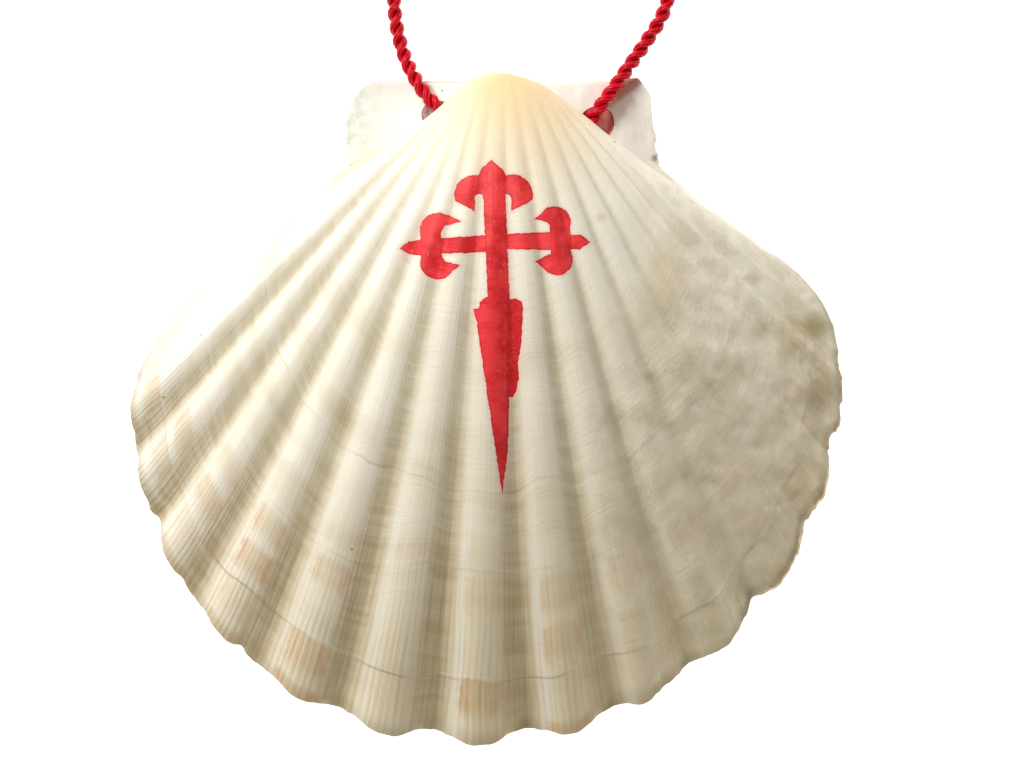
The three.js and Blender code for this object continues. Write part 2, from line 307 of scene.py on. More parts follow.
def plyTube(line, length, turnOffset, taper):
    # one ply round the line: the places of its rings and how far along each ring is
    travelled = np.linspace(0, length, len(line))
    side, up = twistFrames(line)
    turn = 2 * math.pi * (travelled / cord["lay"] + turnOffset)
    radial = side * np.cos(turn)[:, None] + up * np.sin(turn)[:, None]
    middle = line + cord["plyOffset"] * radial * taper[:, None]
    heading = np.gradient(middle, axis=0)
    heading /= np.linalg.norm(heading, axis=1)[:, None]
    outward = radial - heading * np.sum(radial * heading, axis=1)[:, None]
    outward /= np.linalg.norm(outward, axis=1)[:, None]
    across = np.cross(heading, outward)
    around = np.linspace(0, 2 * math.pi, cord["plySides"], endpoint=False)
    radius = cord["plyRadius"] * taper[:, None, None]
    rings = middle[:, None, :] + radius * np.cos(around)[None, :, None] * outward[:, None, :]
    return rings + radius * np.sin(around)[None, :, None] * across[:, None, :], travelled


def layUp(name, points, ends=(1.0, 1.0)):
    # the plies as one mesh, closed at both ends, with a map that runs along each ply
    line, length = evenly(points, cord["step"])
    progress = np.linspace(0, length, len(line))
    taper = np.ones(len(line))
    taper *= ends[0] + (1 - ends[0]) * smoothstep(progress, 0, 1.2)
    taper *= ends[1] + (1 - ends[1]) * smoothstep(length - progress, 0, 1.2)
    sides = cord["plySides"]
    places, faces, maps = [], [], []
    for ply in range(cord["plies"]):
        rings, travelled = plyTube(line, length, ply / cord["plies"], taper)
        first = sum(len(block) for block in places)
        places.append(rings.reshape(-1, 3))
        last = len(rings) - 1
        for i in range(last):
            for j in range(sides):
                k = (j + 1) % sides
                corners = [(i, j), (i, k), (i + 1, k), (i + 1, j)]
                faces.append([first + a * sides + b for a, b in corners])
                right = (j + 1) / sides
                for (a, _), across in zip(corners, (j / sides, right, right, j / sides)):
                    maps.append((across + ply, travelled[a] / cord["lay"]))
        for i, order in ((0, range(sides - 1, -1, -1)), (last, range(sides))):
            faces.append([first + i * sides + j for j in order])
            maps += [(0.5 + ply, travelled[i] / cord["lay"])] * sides
    mesh = bpy.data.meshes.new(name)
    mesh.from_pydata((np.concatenate(places) * mm).tolist(), [], faces)
    piece = bpy.data.objects.new(name, mesh)
    bpy.context.collection.objects.link(piece)
    layer = mesh.uv_layers.new(name="fibre")
    layer.data.foreach_set("uv", np.array(maps).ravel())
    makeActive(piece)
    bpy.ops.object.shade_smooth()
    return piece, line * mm, length * mm


def cordMaterial():
    # satin thread: fine fibres along each ply, with painted shade in the grooves between fibres and where
    # plies meet
    nodes = Nodes("redSatinCord")
    place = nodes.add("ShaderNodeUVMap", uv_map="fibre")
    across, along, _ = nodes.separate(place)
    slant = nodes.scaled(along, 3.0, nodes.times(across, 7.0))
    yarns = nodes.math("COSINE", nodes.times(slant, 2 * math.pi))
    fine = nodes.grain(slant, 4.8, along, 2.4, 3.0, 0.6)
    fibres = nodes.scaled(nodes.span(yarns, -1.0, 0.6), 0.65, nodes.times(fine, 0.35))
    patches = nodes.grain(across, 1.5, along, 3.0, 2.0)
    # painted shade: the deep colour goes where the fibres' bump runs low
    colour = nodes.mix(nodes.span(fibres, 0.12, 0.7), cord["deepColour"], cord["colour"])
    colour = nodes.mix(nodes.span(patches, 0.35, 0.75, 0.0, 0.35), colour, cord["fadedColour"])
    nodes.set(Base_Color=colour, Normal=nodes.bump(fibres, 0.75, 0.14), Roughness=0.34)
    nodes.set(Specular_IOR_Level=0.6, Specular_Tint=tint(cord["sheenColour"]))
    return nodes.material


def makeNeckCord():
    route = [cord["leftKnot"], *cord["leftRoute"], *cord["intoCoil"], *coilTurns()]
    route += [*cord["outOfCoil"], *reversed(cord["rightRoute"]), cord["rightKnot"]]
    return layUp("neck_cord", route)


def makeKnot(name, middle, towards):
    # overhand knot drawn tight round the cord's end, with a short cut tail
    count = 60
    t = np.linspace(0.25, 2 * math.pi - 0.1, count)
    lobes = [np.sin(t) + 2 * np.sin(2 * t), np.cos(t) - 2 * np.cos(2 * t), -1.9 * np.sin(3 * t)]
    lobes = np.stack(lobes, axis=1) * cord["knotSize"]
    turn = math.atan2(towards[1] - middle[1], towards[0] - middle[0])
    ahead = np.array([math.cos(turn), math.sin(turn), 0])
    beside = np.array([-math.sin(turn), math.cos(turn), 0])
    body = lobes[:, :1] * ahead + lobes[:, 1:2] * beside + lobes[:, 2:] * np.array([0, 0, 1])
    return layUp(name, np.asarray(middle) + body, ends=(0.8, 0.8))[0]


cordPiece, cordLine, cordLength = makeNeckCord()
leftKnot = makeKnot("left_stopper_knot", cord["leftKnot"], cord["leftRoute"][0])
rightKnot = makeKnot("right_stopper_knot", cord["rightKnot"], cord["rightRoute"][0])
redSatin = cordMaterial()
for piece, nodesReplaced in (
    (cordPiece, ("cord_left", "cord_right", "cord_coil")),
    (leftKnot, ("knot_left",)),
    (rightKnot, ("knot_right",)),
):
    piece.data.materials.append(redSatin)
    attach(piece, "root")
    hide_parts(*nodesReplaced)
print("cord laid up, metres:", round(cordLength, 4))


# Shell: growth lines are smaller copies of the edge, stood up about the hinge line.
# Millimetres; a point of the edge is its distance to the side of the beak, then forward of it.

shell = {
    "beak": (2.3, 58.1),
    "curlRate": 0.66,
    "curlLimit": 3.3,
    "umboSwell": (0.15, 2.2, 0.8),      # a rounder beak: how much, where and how wide
    "umboPinch": (0.2, 1.8, 0.8),       # and narrower on its left side
    "umboPinchFrom": (10, 50),
    "edgeHeight": 1.8,
    "discRadius": 62.6,
    "discCentre": (-2.3, 53.1),
    "bulge": (2.5, -27, 20),            # the left side is fuller: how much, where and how wide in degrees
    "ribMiddle": 0.5,
    "ribFan": 65,
    "ribCrowding": 0.13,
    "ribLean": (2.0, -8, 26),           # the middle ribs lean to the right: how much, where and how wide
    "ribBend": 0.28,                    # and the right ones bend near the edge, by this share of a rib
    "ribBendTurn": (22, 36),
    "ribBendEnd": (44, 51),
    "ribBendReach": (0.6, 1),
    "discFade": 0.4,
    "firstPhase": -6.5,                 # a rib's phase is its number, and half-way between ribs is a furrow
    "lastPhase": 7.5,
    "ribHeight": 2.7,
    "ribFullness": 0.72,
    "ribFadeIn": (0.09, 0.4),
    "ribWear": 0.75,
    "ribWearFrom": (10, 38),
    "ribWearReach": (0.25, 0.65),
    "lobeReach": (-0.3, 1.8),           # rib ends push the edge out, left and right
    "lobeDip": (0, 0.8),                # and the furrows between them draw it in
    "lobeTurn": (-24, -12),
    "lobeFade": 6,
    "ribEndLift": 1.4,
    # halts of growth: reach, millimetres of the step, and the real reach at some degrees from the beak
    "ledges": [
        (0.922, 0.24, [
            (-42, 0.93), (-29, 0.928), (-25, 0.916), (-18, 0.92), (-9, 0.923), (-4, 0.917),
            (5, 0.926), (10, 0.919), (16, 0.932), (21, 0.929), (42, 0.92),
        ]),
        (0.78, 0.06, [
            (-40, 0.785), (-23, 0.792), (-17, 0.79), (-14, 0.777), (-8, 0.757), (10, 0.77), (40, 0.785),
        ]),
        (0.655, 0.1, [
            (-34, 0.641), (-18, 0.652), (-14, 0.643), (0, 0.66), (5, 0.649), (17, 0.671),
            (25, 0.666), (34, 0.692),
        ]),
    ],
    "ledgeWidth": 0.0022,
    "crestLag": 0.012,                  # of the reach, so that the halts cross the ribs evenly
    "leftEar": [(-22.8, -0.4), (-26.2, 2.5), (-27.8, 7.7), (-27.6, 11.5), (-26.6, 15.0)],
    "leftFlank": [(-29.2, 16.6), (-33.3, 21.0), (-43.1, 28.5), (-52.9, 35.9), (-59.0, 42.9), (-62.6, 48.2)],
    "rightFlank": [(59.3, 43.2), (56.6, 38.3), (52.4, 33.4), (43.6, 26.9), (34.5, 20.2), (30.0, 16.4)],
    "rightEar": [(28.3, 14.6), (27.8, 12.4), (27.1, 8.5), (26.1, 3.0), (24.5, -0.8)],
    "hingeTilt": (0.018, 0.032),        # how far the hinge line leans up, left and right
    "sideColumns": 11,                  # along each ear and each flank
    "columnsPerRib": 14,
    "underRows": 4,                     # the underside and the lip
    "rowsTo": [                         # rows up to each reach, crowded at the ledges
        (9, 0.927), (5, 0.917), (17, 0.785), (4, 0.775), (15, 0.66), (4, 0.65), (4, 0.62),
        (27, 0.30), (25, 0.012),
    ],
    "splitAt": (0.30, 0.62),            # the columns are cut in two outside each of these reaches
    "insets": (9.0, 4.0, 0.35),         # of the underside's rows from the edge
    "lipBulge": 0.3,
    "edgeDrop": 0.6,
    "lumps": 0.3,                       # the worn right side is uneven
    "swells": 0.14,
    "fineHalts": 0.05,
    "fray": (0.22, 0.16),               # of the edge, coarse and fine
    "growthRipple": (0.003, 0.001),     # of the reach
    "hingeRounding": (0.45, 0.9),       # how deep and how wide
    "earFolds": (0.06, 0.15),           # left and right
    "earCrease": ((19.0, 4.1), (24.9, 0), 0.18),
    "chips": [                          # bites out of the edge: degrees, millimetres deep, degrees wide
        (43.3, 1.3, 1.2), (50.2, 0.8, 0.9), (47.2, -1.2, 0.9), (26.2, 0.9, 1.0), (21.4, 0.7, 0.9),
        (14.6, 1.4, 1.3), (-24.6, 0.7, 0.5), (-38.0, 1.2, 0.8), (-50.5, 1.0, 1.2),
    ],
    "hollowSetBack": 2.2,
    "hollowRim": 1.7,
    "hollowCurl": 0.652,
    "hollowFirstReach": 0.12,
    "hollowFlank": [
        (3.2, 2.2), (9.4, 6.2), (17.2, 12.0), (25.8, 18.5), (42.0, 30.6), (50.6, 37.6), (55.6, 42.8),
    ],
    "hollowRows": 44,
    "hollowColumnsPerRib": 10,
    "hollowFurrow": 1.1,
    "hollowFurrowFrom": 0.55,
    "holeDepth": 14,
    "holes": [
        (2.8, (-10.7, 6.4, 4.85), (0.52, 0.59, -0.616)),
        (3.1, (17.8, 6.8, 4.95), (-0.52, 0.59, -0.616)),
    ],
}


def ribAngle(phase):
    # degrees from the beak
    even = shell["ribMiddle"] + shell["ribFan"] * np.sin(shell["ribCrowding"] * (phase - 0.5))
    size, at, width = shell["ribLean"]
    return even + size * bell(even, at, width)


def discShare(phase):
    # 1 on the disc, 0 on the ears and flanks
    inside = np.minimum(phase - shell["firstPhase"], shell["lastPhase"] - phase)
    return smoothstep(inside, 0, shell["discFade"])


def angleOf(phase):
    onDisc = (phase >= shell["firstPhase"]) & (phase <= shell["lastPhase"])
    return np.where(onDisc, ribAngle(phase), 0)


def bentPhase(phase, reach):
    angle = angleOf(phase)
    turned = smoothstep(angle, *shell["ribBendTurn"]) * (1 - smoothstep(angle, *shell["ribBendEnd"]))
    return phase - shell["ribBend"] * turned * smoothstep(reach, *shell["ribBendReach"])


def ribShare(phase, reach):
    onDisc = (phase >= shell["firstPhase"]) & (phase <= shell["lastPhase"])
    wave = np.maximum(0.5 + 0.5 * np.cos(2 * math.pi * bentPhase(phase, reach)), 0)
    return np.where(onDisc, wave ** shell["ribFullness"], 0)


def discReach(angle):
    x, y = shell["discCentre"]
    along = x * np.sin(angle) + y * np.cos(angle)
    size, at, width = shell["bulge"]
    bulge = size * bell(np.degrees(angle), at, width)
    return along + np.sqrt(along ** 2 - x ** 2 - y ** 2 + shell["discRadius"] ** 2) + bulge


def edgeTable(sides, perRib, inset):
    # the edge as one line of columns: column number, x, y and phase, with the sides given as stretches
    columns, xs, ys, phases = [], [], [], []

    def append(start, count, x, y, phase):
        columns.append(start + np.linspace(0, count, len(x)))
        xs.append(x)
        ys.append(y)
        phases.append(phase)
        return start + count + 1

    def appendSide(start, points, phaseFrom, phaseTo):
        count = shell["sideColumns"]
        at = np.linspace(0, len(points) - 1, count * 4 + 1)
        line = curveThrough(points, at)
        return append(start, count, line[:, 0], line[:, 1], np.linspace(phaseFrom, phaseTo, len(line)))

    column = 0
    phase = shell["firstPhase"] - len(sides[0])
    for points in sides[0]:
        column = appendSide(column, points, phase, phase + 0.95)
        phase += 1
    count = round((shell["lastPhase"] - shell["firstPhase"]) * perRib)
    disc = np.linspace(shell["firstPhase"], shell["lastPhase"], count * 4 + 1)
    angle = np.radians(ribAngle(disc))
    reach = discReach(angle) - inset
    column = append(column, count, reach * np.sin(angle), reach * np.cos(angle), disc)
    phase = shell["lastPhase"]
    for points in sides[1]:
        column = appendSide(column, points, phase + 0.05, phase + 1)
        phase += 1
    table = [np.concatenate(part) for part in (columns, xs, ys, phases)]
    return table, column - 1


def readTable(table, column):
    return [np.interp(column, table[0], part) for part in table[1:]]


def curlAngle(reach, rate):
    limit = shell["curlLimit"]
    shrinking = np.log(1 / reach)
    swell, at, width = shell["umboSwell"]
    swell = swell * bell(shrinking, at, width) * np.minimum(shrinking, 1)
    return limit * np.tanh(rate * shrinking / limit) + swell


def grow(x, y, reach, rate):
    curl = curlAngle(reach, rate)
    share, at, width = shell["umboPinch"]
    pinch = share * bell(np.log(1 / reach), at, width) * smoothstep(-x, *shell["umboPinchFrom"])
    return np.stack([reach * x * (1 - pinch), -reach * y * np.cos(curl), reach * y * np.sin(curl)], axis=1)


def outwardOf(table, column, reach, rate):
    # direction out of the smooth surface, before its ribs
    step = shell["columnsPerRib"] / 4
    last = table[0][-1]
    ahead = readTable(table, np.minimum(column + step, last))
    behind = readTable(table, np.maximum(column - step, 0))
    here = readTable(table, column)
    along = grow(ahead[0], ahead[1], reach, rate) - grow(behind[0], behind[1], reach, rate)
    inner = np.maximum(reach - 0.02, reach * 0.8)
    up = grow(here[0], here[1], inner, rate) - grow(here[0], here[1], reach, rate)
    normal = np.cross(along, up)
    return normal / np.linalg.norm(normal, axis=1)[:, None]


def between(pair, share):
    return pair[0] + (pair[1] - pair[0]) * share


def edgeShape(x, y, phase, reach):
    # rib ends push the edge out on the right, where it is also chipped
    angle = angleOf(phase)
    turned = smoothstep(angle, *shell["lobeTurn"])
    lobe = between(shell["lobeReach"], turned) * ribShare(phase, reach)
    lobe = (lobe - between(shell["lobeDip"], turned) * discShare(phase)) * reach ** shell["lobeFade"]
    frayed = smoothstep(reach, 0.9, 1.0)
    coarse, fine = shell["fray"]
    rough = coarse * softNoise(phase * 6, phase * 0 + 3, 11) + fine * softNoise(phase * 17, phase * 0 + 5, 12)
    onEar = (phase < shell["firstPhase"] - 1) | (phase > shell["lastPhase"] + 1)
    lobe = lobe + frayed * rough * (0.6 + 0.8 * smoothstep(angle, 5, 35) + 1.7 * onEar)
    for at, depth, width in shell["chips"]:
        lobe = lobe - frayed * depth * bell(angle, at, width) * (angle != 0)
    length = np.hypot(x, y)
    return x * (1 + lobe / length), y * (1 + lobe / length)


def wearOf(phase, reach):
    # 1 for a sound rib, less on the worn right side
    worn = smoothstep(angleOf(phase), *shell["ribWearFrom"]) * smoothstep(reach, *shell["ribWearReach"])
    return 1 - shell["ribWear"] * worn


def strayedReach(phase, reach):
    # the halts of growth do not run evenly, and the growth lines between two of them follow
    angle = angleOf(phase)
    marks = [(1.0, 0 * phase)]
    for at, _, line in shell["ledges"]:
        degrees, reaches = zip(*line)
        marks.append((at, np.interp(angle, degrees, reaches) - at))
    marks.append((0.3, 0 * phase))
    stray = 0 * phase
    for (high, strayHigh), (low, strayLow) in zip(marks, marks[1:]):
        share = (reach - low) / (high - low)
        inside = (reach > low) & (reach <= high)
        stray = np.where(inside, strayLow + (strayHigh - strayLow) * share, stray)
    coarse, fine = shell["growthRipple"]
    ripple = coarse * softNoise(phase * 2.7, reach * 9, 22) + fine * softNoise(phase * 13, reach * 9, 23)
    ripple = ripple - shell["crestLag"] * wearOf(phase, reach) * ribShare(phase, reach)
    ripple = ripple * smoothstep(1 - reach, 0, 0.06) * smoothstep(reach, 0.3, 0.6)
    return reach + (stray + ripple) * discShare(phase)


def ledgeDrop(reach):
    width = shell["ledgeWidth"]
    return sum(depth * smoothstep(reach, at - width, at + width) for at, depth, _ in shell["ledges"])


def fromHinge(side, forward):
    return forward + np.abs(side) * between(shell["hingeTilt"], side > 0)


def earRelief(phase, side, forward):
    # soft folds, and on the right ear a crease from the hole to its corner
    size = between(shell["earFolds"], phase > 0)
    folds = size * (softNoise(side / 3.1, forward / 4.4, 51) + 0.6 * softNoise(side / 1.3, forward / 5, 52))
    folds = folds * smoothstep(fromHinge(side, forward), 0.4, 2.5)
    start, end, height = shell["earCrease"]
    length = math.dist(start, end)
    across = ((forward - start[1]) * (end[0] - start[0]) - (side - start[0]) * (end[1] - start[1])) / length
    return folds + height * smoothstep(-across, -0.8, 0.8) * smoothstep(side, 12, 18)


def reliefOf(x, y, phase, reach, growthLine):
    # height of the ribs and of everything finer over the smooth surface
    angle = angleOf(phase)
    onDisc = discShare(phase)
    side, forward = x * reach, y * reach
    ribs = shell["ribHeight"] * reach * smoothstep(reach, *shell["ribFadeIn"])
    ribs = ribs * wearOf(phase, reach) * ribShare(phase, reach)
    lumps = softNoise(side / 4.3, forward / 3.6, 42) + 0.5 * softNoise(side / 1.9, forward / 1.6, 43)
    lumps = shell["lumps"] * lumps * smoothstep(angle, 4, 26) * smoothstep(reach, 0.4, 0.65)
    swells = shell["swells"] * softNoise(reach * 16, phase * 0.9, 44) * smoothstep(reach, 0.2, 0.5)
    halts = shell["fineHalts"] * softNoise(growthLine * 60, phase * 0.5, 45) * smoothstep(reach, 0.2, 0.5)
    patchy = 0.65 + 0.35 * softNoise(phase * 1.7, growthLine * 8, 46)
    patchy = patchy * (1 - 0.75 * smoothstep(angle, 30, 44))
    settled = shell["edgeDrop"] * smoothstep(reach, 0.6, 1.0)
    fine = (lumps + swells + halts - settled - ledgeDrop(growthLine) * patchy) * onDisc
    folds = earRelief(phase, side, forward) * (1 - onDisc) * smoothstep(reach, 0.1, 0.5)
    depth, width = shell["hingeRounding"]
    rounded = (1 - np.clip(fromHinge(side, forward) / width, 0, 1)) ** 2 * smoothstep(reach, 0.12, 0.4)
    return ribs + fine + folds - depth * rounded


def toTable(places, forward, height):
    x, y = shell["beak"]
    return places + np.array([x, y - forward, height])


def rowOfReach(reach):
    row = shell["underRows"]
    for count, low in shell["rowsTo"]:
        row += count
        if low <= reach:
            return row


def reachOfRow(row):
    marks, reaches = [shell["underRows"]], [1.0]
    for count, reach in shell["rowsTo"]:
        marks.append(marks[-1] + count)
        reaches.append(reach)
    return np.interp(row, marks, reaches)


def flatGrid(name, columns, rows):
    deselectAll()
    bpy.ops.mesh.primitive_grid_add(x_subdivisions=columns, y_subdivisions=rows, size=1)
    piece = bpy.context.active_object
    piece.name = piece.data.name = name
    return piece


def columnsAndRows(piece, columns, rows):
    flat = positions(piece)
    return (flat[:, 0] + 0.5) * columns, (flat[:, 1] + 0.5) * rows


def editSelected(piece, kind, chosen):
    # edit mode with only the chosen edges or vertices selected
    makeActive(piece)
    bpy.context.tool_settings.mesh_select_mode = (kind == "vertices", kind == "edges", False)
    for name in ("vertices", "edges", "polygons"):
        parts = getattr(piece.data, name)
        parts.foreach_set("select", chosen if name == kind else np.zeros(len(parts), dtype=bool))
    bpy.ops.object.mode_set(mode="EDIT")


def splitColumns(piece, columns, rows, lastRow):
    # every column up to this row is cut in two
    _, row = columnsAndRows(piece, columns, rows)
    edges = piece.data.edges
    ends = np.empty(len(edges) * 2, dtype=int)
    edges.foreach_get("vertices", ends)
    ends = ends.reshape(-1, 2)
    level = np.abs(row[ends[:, 0]] - row[ends[:, 1]]) < 0.01
    chosen = level & (row[ends[:, 0]] < lastRow + 0.01)
    editSelected(piece, "edges", chosen)
    bpy.ops.mesh.subdivide(number_cuts=1, ngon=False)
    bpy.ops.object.mode_set(mode="OBJECT")


def closeLoop(piece, chosen):
    editSelected(piece, "vertices", chosen)
    bpy.ops.mesh.edge_face_add()
    bpy.ops.object.mode_set(mode="OBJECT")


def closeSheet(piece, column, row, lastColumn, lastRow):
    # the oldest growth line, the underside and the hinge line get a face each
    closeLoop(piece, row > lastRow - 0.01)
    closeLoop(piece, row < 0.01)
    closeLoop(piece, (column < 0.01) | (column > lastColumn - 0.01))
    makeActive(piece)
    bpy.ops.object.mode_set(mode="EDIT")
    bpy.ops.mesh.select_all(action="SELECT")
    bpy.ops.mesh.normals_make_consistent(inside=False)
    bpy.ops.object.mode_set(mode="OBJECT")


def mapGrowth(piece, phase, reach):
    # where each corner is in the shell's growth: along the edge in ribs, and from beak to edge
    mesh = piece.data
    for layer in list(mesh.uv_layers):
        mesh.uv_layers.remove(layer)
    layer = mesh.uv_layers.new(name="growth")
    corners = np.empty(len(mesh.loops), dtype=int)
    mesh.loops.foreach_get("vertex_index", corners)
    layer.data.foreach_set("uv", np.stack([phase[corners], reach[corners]], axis=1).ravel())


def makeGrownBody():
    table, lastColumn = edgeTable(
        ([shell["leftEar"], shell["leftFlank"]], [shell["rightFlank"], shell["rightEar"]]),
        shell["columnsPerRib"],
        0,
    )
    lastRow = shell["underRows"] + sum(count for count, _ in shell["rowsTo"])
    piece = flatGrid("shell_body", lastColumn, lastRow)
    for splitReach in shell["splitAt"]:
        splitColumns(piece, lastColumn, lastRow, rowOfReach(splitReach))
    column, row = columnsAndRows(piece, lastColumn, lastRow)
    x, y, phase = readTable(table, column)
    growthLine = reachOfRow(row)
    reach = strayedReach(phase, growthLine)
    edgeX, edgeY = edgeShape(x, y, phase, reach)
    normal = outwardOf(table, column, reach, shell["curlRate"])
    relief = reliefOf(edgeX, edgeY, phase, reach, growthLine)
    places = grow(edgeX, edgeY, reach, shell["curlRate"]) + normal * relief[:, None]
    places = toTable(places, 0, shell["edgeHeight"])
    hinge = (column < 0.01) | (column > lastColumn - 0.01)
    places[hinge, 1] = np.maximum(places[hinge, 1], shell["beak"][1])
    placeUnderside(places, row, edgeX, edgeY, ribShare(phase, 1.0))
    setPositions(piece, places * mm)
    closeSheet(piece, column, row, lastColumn, lastRow)
    below = shell["underRows"] - np.minimum(row, shell["underRows"])
    mapGrowth(piece, phase, growthLine + 0.02 * below)
    return piece


def placeUnderside(places, row, x, y, rib):
    # the lip turns under, and the rows behind it run in to the flat that the shell rests on
    y = np.maximum(y, 0)
    length = np.hypot(x, y)
    lift = shell["ribEndLift"] * rib
    for level, (inset, raised) in enumerate(zip(shell["insets"], (0.0, 0.8, 1.0))):
        chosen = np.abs(row - level) < 0.01
        share = 1 - inset / length[chosen]
        flat = np.stack([x[chosen] * share, -y[chosen] * share, lift[chosen] * raised], axis=1)
        places[chosen] = toTable(flat, 0, 0)
    lip = np.abs(row - 3) < 0.01
    share = 1 + shell["lipBulge"] / length[lip]
    top = shell["edgeHeight"] + 0.6 * shell["ribHeight"] * rib[lip]
    middle = np.stack([x[lip] * share, -y[lip] * share, 0.5 * (top + lift[lip])], axis=1)
    places[lip] = toTable(middle, 0, 0)


def makeHollowBody():
    mirrored = [(-x, y) for x, y in shell["hollowFlank"]]
    table, lastColumn = edgeTable(
        ([mirrored], [list(reversed(shell["hollowFlank"]))]),
        shell["hollowColumnsPerRib"],
        shell["hollowRim"],
    )
    table[2] = table[2] - shell["hollowSetBack"]
    lastRow = shell["hollowRows"] + 1
    piece = flatGrid("hollow_body", lastColumn, lastRow)
    column, row = columnsAndRows(piece, lastColumn, lastRow)
    reach = np.interp(row, [1, lastRow], [1, shell["hollowFirstReach"]])
    x, y, phase = readTable(table, column)
    places = grow(x, y, reach, shell["hollowCurl"])
    nearEdge = smoothstep(reach, shell["hollowFurrowFrom"], 1)
    places[:, 2] += shell["hollowFurrow"] * ribShare(phase, reach) * nearEdge
    floor = row < 0.01
    places[floor, 2] = -1
    setPositions(piece, toTable(places, shell["hollowSetBack"], 0) * mm)
    closeSheet(piece, column, row, lastColumn, lastRow)
    mapGrowth(piece, phase, reach)
    return piece


def makeDrill(radius, at, heading):
    deselectAll()
    x, y = shell["beak"]
    axis = Vector((heading[0], -heading[1], heading[2])).normalized()
    bpy.ops.mesh.primitive_cylinder_add(
        vertices=48,
        radius=radius * mm,
        depth=shell["holeDepth"] * mm,
        location=((at[0] + x) * mm, (y - at[1]) * mm, at[2] * mm),
        rotation=axis.to_track_quat("Z", "Y").to_euler(),
    )
    drill = bpy.context.active_object
    bpy.ops.object.transform_apply(location=True, rotation=True, scale=True)
    return drill


def cutWith(piece, cutter):
    makeActive(piece)
    cut = piece.modifiers.new("cut", "BOOLEAN")
    cut.operation = "DIFFERENCE"
    cut.solver = "MANIFOLD"
    cut.object = cutter
    before = len(piece.data.polygons)
    bpy.ops.object.modifier_apply(modifier=cut.name)
    print("cut with", cutter.name, before, len(piece.data.polygons))
    bpy.data.objects.remove(cutter)


def makeShell(inside, holeWalls):
    piece = makeGrownBody()
    piece.data.materials.append(outsideMaterial(positions(piece)))
    piece.data.materials.append(inside)
    hollow = makeHollowBody()
    hollow.data.materials.append(inside)
    cutWith(piece, hollow)
    for (radius, at, heading), wall in zip(shell["holes"], holeWalls):
        piece.data.materials.append(wall)
        drill = makeDrill(radius, at, heading)
        drill.data.materials.append(wall)
        cutWith(piece, drill)
    piece.name = piece.data.name = "scallop_shell"
    makeActive(piece)
    bpy.ops.object.shade_smooth_by_angle(angle=math.radians(48))
    return piece


# Painted cross: millimetres from where its arms cross, to the right and up

cross = {
    "crossing": (1.64, 28.8),
    "polygons": [
        [(-0.8, 14.8), (1.2, 13.0), (2.0, 11.7), (2.0, 9.4), (-3.1, 9.4), (-3.2, 11.9), (-2.4, 13.3)],
        [(-2.4, 11.5), (1.6, 11.5), (2.4, -10.3), (-1.4, -10.3)],
        [(-9.8, 1.0), (-1.6, 1.5), (-1.6, -1.5), (-9.8, -1.8)],
        [(1.6, 1.7), (9.8, 2.1), (9.8, -1.1), (1.6, -1.0)],
        [(-16.9, -0.8), (-15.4, 0.4), (-12.9, 0.8), (-12.9, -2.1), (-15.0, -1.8)],
        [(-13.3, 3.1), (-9.6, 3.1), (-9.6, -3.1), (-13.1, -3.1)],
        [(-8.6, 5.2), (-5.9, 3.9), (-8.6, 3.1)],
        [(-8.7, -5.7), (-6.2, -3.8), (-8.6, -3.1)],
        [(16.6, 0.3), (15.0, 1.6), (12.9, 1.7), (12.9, -1.0), (14.7, -0.9)],
        [(9.3, 3.8), (12.9, 3.8), (13.2, -3.1), (9.5, -2.4)],
        [(9.1, 6.5), (6.7, 4.3), (9.1, 3.7)],
        [(9.3, -5.1), (6.8, -3.1), (9.4, -1.7)],
        [(-2.8, -10.1), (2.3, -10.1), (2.3, -27.3), (2.1, -36.0), (1.1, -44.0), (-3.3, -14.2)],
        [(-4.0, -11.4), (-2.4, -11.1), (-2.8, -15.4)],
        [(1.6, -9.6), (3.5, -9.6), (4.5, -10.1), (4.8, -11.2), (4.4, -17.6), (3.8, -21.1), (1.6, -21.1)],
        [(1.6, -20.3), (3.8, -20.8), (4.0, -23.4), (3.6, -25.7), (3.0, -26.7), (1.6, -26.7)],
    ],
    "discs": [((-1.1, -10.8), 1.6)],
    # a petal is a disc with a bite out of it: middle, radius, bite's middle, bite's radius
    "petals": [
        ((-10.2, 2.4), 3.06, (-7.1, 1.3), 2.53),
        ((-10.1, -3.1), 3.14, (-7.2, -1.2), 2.36),
        ((10.3, 3.8), 2.8, (7.9, 2.4), 1.66),
        ((10.7, -2.8), 2.71, (8.0, -0.9), 1.75),
    ],
    # the two upper petals are cut off below by a line, and a slot parts each from the shaft
    "upperPetals": [
        ((-3.8, 8.5), 3.5, (-6.8, 7.3), (-3.7, 5.6), (-2.9, 7.9), 0.79),
        ((2.8, 8.5), 3.67, (2.6, 5.6), (6.1, 7.5), (1.9, 7.9), 0.75),
    ],
    "ragged": 0.64,
    "colour": (250, 58, 64),
    "deepColour": (222, 26, 34),
    "rimColour": (176, 8, 18),
    "speckColour": (255, 150, 150),
    "haloColour": (255, 204, 192),
    "strip": (1.7, 3.4),                # darker paint along the blade's right side
    "stripFrom": (-8.0, -10.0),
    "stripColour": (196, 10, 20),
}


def discField(nodes, place, middle, radius):
    away = nodes.vector("DISTANCE", place, (*middle, 0.0))
    return nodes.math("SUBTRACT", away, radius)


def sideField(nodes, place, start, end, inside):
    # how far a point is past the line from start to end, away from the inside
    normal = Vector((end[1] - start[1], start[0] - end[0])).normalized()
    offset = normal.dot(Vector(start))
    if normal.dot(Vector(inside)) > offset:
        normal, offset = -normal, -offset
    return nodes.math("SUBTRACT", nodes.vector("DOT_PRODUCT", place, (*normal, 0.0)), offset)


def polygonField(nodes, place, points):
    middle = (sum(x for x, _ in points) / len(points), sum(y for _, y in points) / len(points))
    field = None
    for start, end in zip(points, points[1:] + points[:1]):
        side = sideField(nodes, place, start, end, middle)
        field = side if field is None else nodes.math("MAXIMUM", field, side)
    return field


